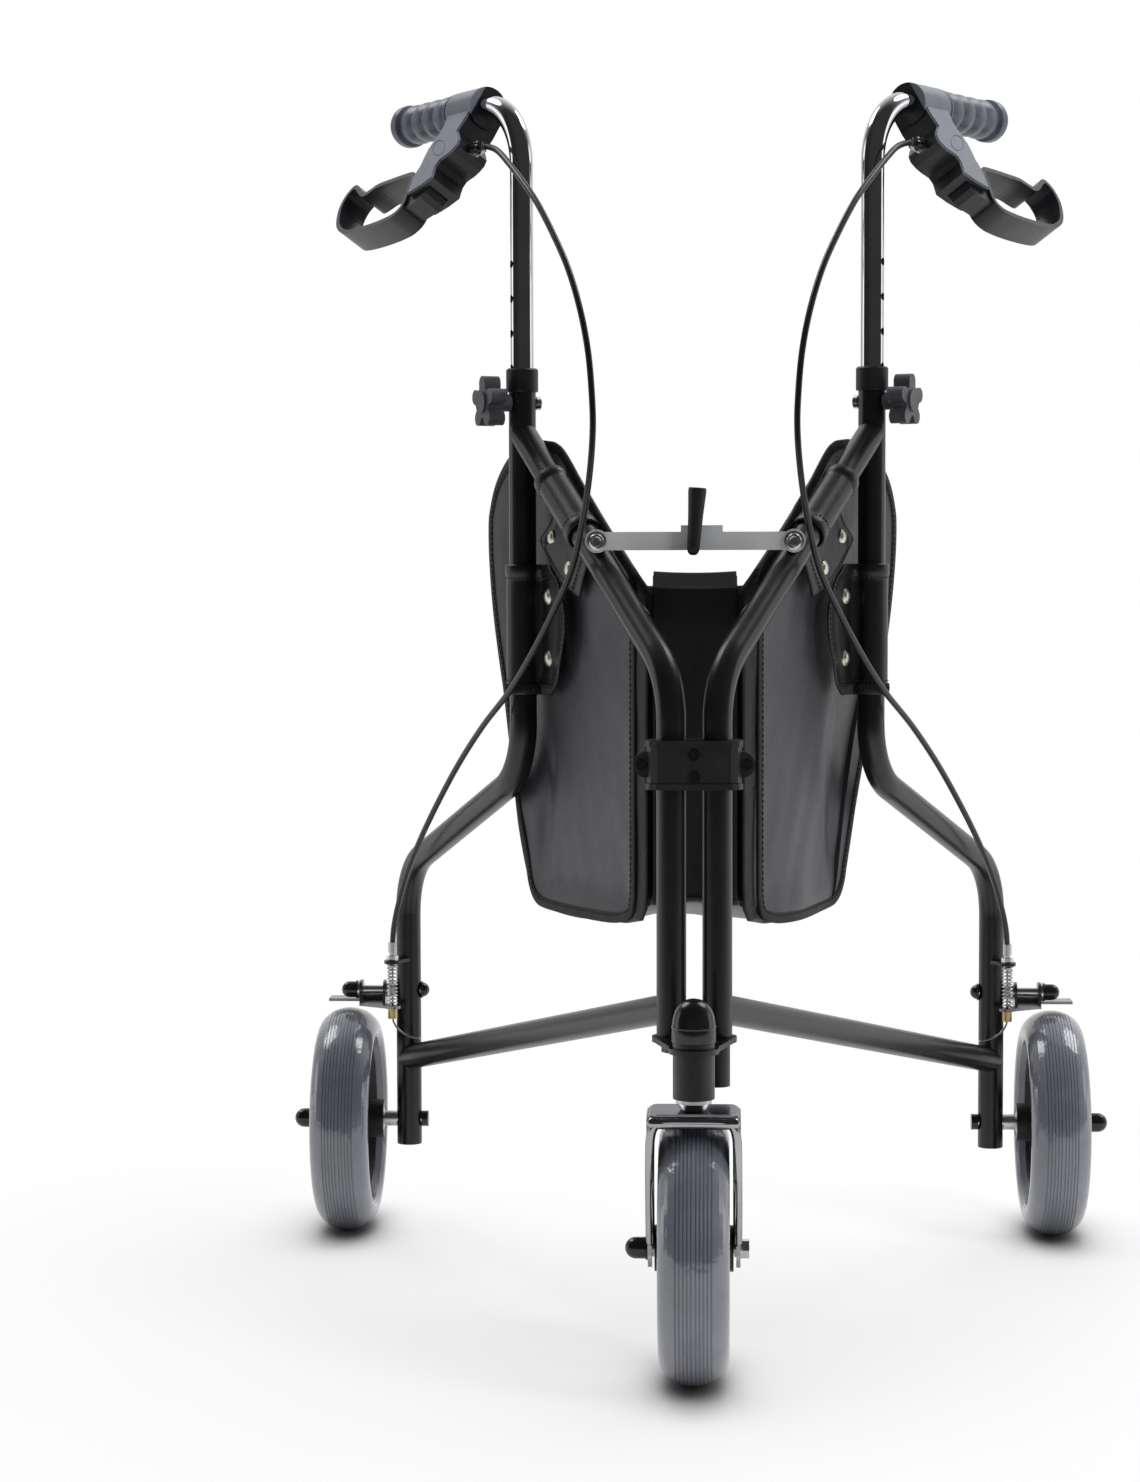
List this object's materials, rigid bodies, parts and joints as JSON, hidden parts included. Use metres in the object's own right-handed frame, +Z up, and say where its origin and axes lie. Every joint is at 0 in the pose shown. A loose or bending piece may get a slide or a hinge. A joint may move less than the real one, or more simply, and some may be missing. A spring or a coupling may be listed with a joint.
{
  "type": "three wheel rollator",
  "caption": "Folding three wheel walking frame with height-set handles, loop brake levers, cable brakes, swivel front wheel and a shopping bag.",
  "frame": {"origin": "centre of the bounding box on the floor under the wheels", "axes": "+Z up, the front wheel toward -Y, +X to the user's left"},
  "size_m": [0.7316, 0.7032, 0.995],
  "materials": {
    "black_coat": "satin black powder coat",
    "black_plastic": "fine grained black plastic",
    "grip_rubber": "matte black grip",
    "chrome_tube": "polished chrome plate",
    "zinc": "bright zinc plate",
    "brass": "plain brass",
    "grey_tyre": "grey moulded tyre",
    "black_rim": "black moulded rim",
    "cable_black": "smooth black cable sheath",
    "grey_vinyl": "grey coated cloth with black binding",
    "black_nylon": "black woven nylon"
  },
  "bodies": {
    "head": {"head_barrel": "black_coat", "barrel_cap": "black_plastic", "head_bearings": "zinc", "hinge_pins": "zinc", "clamp_front": "black_plastic", "clamp_rear": "black_plastic", "clamp_screws": "black_coat", "bag_shell": "black_nylon"},
    "caster": {"caster_fork": "zinc", "caster_stem": "zinc", "front_axle": "zinc", "front_axle_cap": "black_plastic"},
    "front_wheel": {"front_tyre": "grey_tyre", "front_rim": "black_rim", "front_bearings": "zinc"},
    "right_frame": {"right_front_tube": "black_coat", "right_rear_tube": "black_coat", "right_lower_tube": "black_coat", "right_sleeve_collar": "black_plastic", "right_frame_bolts": "zinc", "right_plastic_caps": "black_plastic", "right_brake_cable": "cable_black", "right_brake_spring": "zinc", "right_brake_wire": "zinc", "right_bag_panel": "grey_vinyl"},
    "right_handle": {"right_handle_stem": "chrome_tube", "right_hand_grip": "grip_rubber", "right_lever_housing": "black_plastic", "right_lever_hardware": "zinc"},
    "right_lever": {"right_brake_lever": "black_plastic"},
    "right_knob": {"right_height_knob": "black_plastic"},
    "right_brake": {"right_brake_arm": "zinc", "right_cable_nipple": "brass"},
    "right_wheel": {"right_tyre": "grey_tyre", "right_rim": "black_rim", "right_bearings": "zinc"},
    "right_stay": {"right_stay_link": "zinc", "stay_handle": "black_plastic"},
    "left_frame": {"left_front_tube": "black_coat", "left_rear_tube": "black_coat", "left_lower_tube": "black_coat", "left_sleeve_collar": "black_plastic", "left_frame_bolts": "zinc", "left_plastic_caps": "black_plastic", "left_brake_cable": "cable_black", "left_brake_spring": "zinc", "left_brake_wire": "zinc", "left_bag_panel": "grey_vinyl"},
    "left_handle": {"left_handle_stem": "chrome_tube", "left_hand_grip": "grip_rubber", "left_lever_housing": "black_plastic", "left_lever_hardware": "zinc"},
    "left_lever": {"left_brake_lever": "black_plastic"},
    "left_knob": {"left_height_knob": "black_plastic"},
    "left_brake": {"left_brake_arm": "zinc", "left_cable_nipple": "brass"},
    "left_wheel": {"left_tyre": "grey_tyre", "left_rim": "black_rim", "left_bearings": "zinc"},
    "left_stay": {"left_stay_link": "zinc"}
  },
  "joints": [
    {"name": "caster_swivel", "type": "hinge", "parent": "head", "child": "caster", "pos_m": [0, -0.28163, 0.23], "axis": [0, 0, 1], "continuous": true},
    {"name": "front_roll", "type": "hinge", "parent": "caster", "child": "front_wheel", "pos_m": [0, -0.25163, 0.1], "axis": [1, 0, 0], "continuous": true},
    {"name": "right_fold", "type": "hinge", "parent": "head", "child": "right_frame", "pos_m": [-0.017, -0.22863, 0.3], "axis": [0, 0, -1], "range_deg": [0, 24], "deforming": ["bag_shell"]},
    {"name": "right_height", "type": "slide", "parent": "right_frame", "child": "right_handle", "axis": [0, 0, 1], "range_m": [-0.112, 0.028]},
    {"name": "right_squeeze", "type": "hinge", "parent": "right_handle", "child": "right_lever", "pos_m": [-0.21728, 0.05392, 0.91255], "axis": [0.6947, 0.4864, -0.5299], "range_deg": [0, 12], "stiffness_Nm_per_rad": 2},
    {"name": "right_knob_turn", "type": "hinge", "parent": "right_frame", "child": "right_knob", "pos_m": [-0.14185, 0.0164, 0.733], "axis": [-0.891, -0.454, 0], "continuous": true},
    {"name": "right_brake_swing", "type": "hinge", "parent": "right_frame", "child": "right_brake", "pos_m": [-0.2617, 0.25163, 0.2175], "axis": [-1, 0, 0], "range_deg": [0, 18], "deforming": ["right_brake_spring", "right_brake_wire"]},
    {"name": "right_roll", "type": "hinge", "parent": "right_frame", "child": "right_wheel", "pos_m": [-0.3163, 0.25163, 0.1], "axis": [1, 0, 0], "continuous": true},
    {"name": "right_stay_swing", "type": "hinge", "parent": "right_frame", "child": "right_stay", "pos_m": [-0.07542, -0.10611, 0.6205], "axis": [0, -1, 0], "range_deg": [0, 69.6]},
    {"name": "left_fold", "type": "hinge", "parent": "head", "child": "left_frame", "pos_m": [0.017, -0.22863, 0.3], "axis": [0, 0, 1], "range_deg": [0, 24]},
    {"name": "left_height", "type": "slide", "parent": "left_frame", "child": "left_handle", "axis": [0, 0, 1], "range_m": [-0.112, 0.028]},
    {"name": "left_squeeze", "type": "hinge", "parent": "left_handle", "child": "left_lever", "pos_m": [0.21728, 0.05392, 0.91255], "axis": [0.6947, -0.4864, 0.5299], "range_deg": [0, 12], "stiffness_Nm_per_rad": 2},
    {"name": "left_knob_turn", "type": "hinge", "parent": "left_frame", "child": "left_knob", "pos_m": [0.14185, 0.0164, 0.733], "axis": [0.891, -0.454, 0], "continuous": true},
    {"name": "left_brake_swing", "type": "hinge", "parent": "left_frame", "child": "left_brake", "pos_m": [0.2617, 0.25163, 0.2175], "axis": [-1, 0, 0], "range_deg": [0, 18], "deforming": ["left_brake_spring", "left_brake_wire"]},
    {"name": "left_roll", "type": "hinge", "parent": "left_frame", "child": "left_wheel", "pos_m": [0.3163, 0.25163, 0.1], "axis": [1, 0, 0], "continuous": true},
    {"name": "left_stay_swing", "type": "hinge", "parent": "left_frame", "child": "left_stay", "pos_m": [0.07542, -0.10611, 0.6205], "axis": [0, 1, 0], "range_deg": [0, 69.6]}
  ],
  "couplings": [
    {"joint": "right_brake_swing", "follows": "right_squeeze", "ratio": 1.5},
    {"joint": "right_stay_swing", "follows": "right_fold", "ratio": 2.9},
    {"joint": "left_brake_swing", "follows": "left_squeeze", "ratio": 1.5},
    {"joint": "left_stay_swing", "follows": "right_fold", "ratio": 2.9},
    {"joint": "left_fold", "follows": "right_fold", "ratio": 1}
  ]
}
